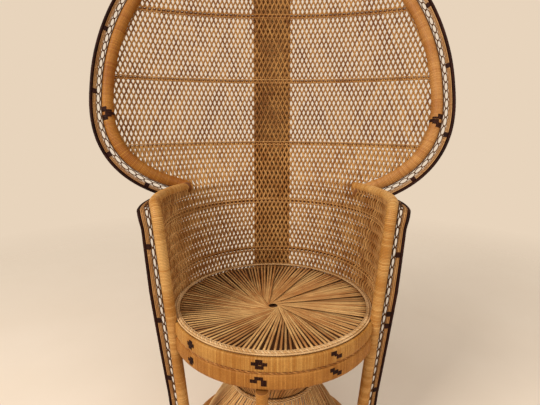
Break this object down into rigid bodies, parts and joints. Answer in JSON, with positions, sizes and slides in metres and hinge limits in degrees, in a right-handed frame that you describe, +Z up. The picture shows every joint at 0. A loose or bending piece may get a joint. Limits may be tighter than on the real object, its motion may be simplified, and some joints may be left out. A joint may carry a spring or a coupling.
{
  "type": "peacock chair",
  "caption": "Tall fan-backed woven armchair: round swirl seat on an hourglass pedestal, curved arm posts, and a high oval hood with looped border and open lattice back.",
  "frame": {"origin": "middle of the floor outline: centred in X and Y under the whole chair, Z = 0 on the floor", "axes": "+Z up, +X to the left hand of the seated person (image right), the sitter faces -Y"},
  "size_m": [0.9454, 0.6842, 1.5],
  "materials": {
    "wrapped_cane": "poles wound with narrow honey-brown cane strips, satin",
    "split_reed": "straight split reeds, pale straw brown, satin",
    "bare_pole": "round rattan poles with their skin on, satin",
    "twisted_rope": "thin twisted and braided cane cord, amber brown",
    "woven_cane": "open diamond weave of round core cane, warm brown",
    "twined_cane": "twined and looped cane, light honey",
    "dark_cane": "dark stained wound cane, satin"
  },
  "bodies": {
    "root": {"floor_ring": "wrapped_cane", "base_skirt": "split_reed", "waist_cord": "wrapped_cane", "base_upper_cone": "split_reed", "pedestal_hoop": "bare_pole", "seat_rail_lower": "bare_pole", "seat_rail_upper": "bare_pole", "apron_lower_band": "wrapped_cane", "apron_upper_band": "wrapped_cane", "wall_base_band": "wrapped_cane", "apron_rope": "twisted_rope", "seat_hoop": "bare_pole", "seat_rim_braid": "twisted_rope", "seat_swirl": "split_reed", "front_centre_post": "wrapped_cane", "woven_panel_wall": "woven_cane", "woven_panel_lower_hood": "woven_cane", "woven_panel_middle_hood": "woven_cane", "woven_panel_upper_hood": "woven_cane", "twined_band_lower_hood": "twined_cane", "twined_band_middle_hood": "twined_cane", "twined_band_upper_hood": "twined_cane", "twined_band_seat": "twined_cane", "twined_band_arm": "twined_cane", "spine_lattice": "woven_cane", "arm_post_right": "wrapped_cane", "arm_post_left": "wrapped_cane", "hood_rim_right": "wrapped_cane", "hood_rim_left": "wrapped_cane", "hood_loops_right": "twined_cane", "hood_loops_left": "twined_cane", "hood_light_strip_right": "split_reed", "hood_light_strip_left": "split_reed", "hood_dark_edge_right": "dark_cane", "hood_dark_edge_left": "dark_cane", "wing_loops_right": "twined_cane", "wing_loops_left": "twined_cane", "wing_light_strip_right": "split_reed", "wing_light_strip_left": "split_reed", "wing_dark_edge_right": "dark_cane", "wing_dark_edge_left": "dark_cane", "spine_pole_right": "bare_pole", "spine_pole_left": "bare_pole"}
  },
  "joints": []
}
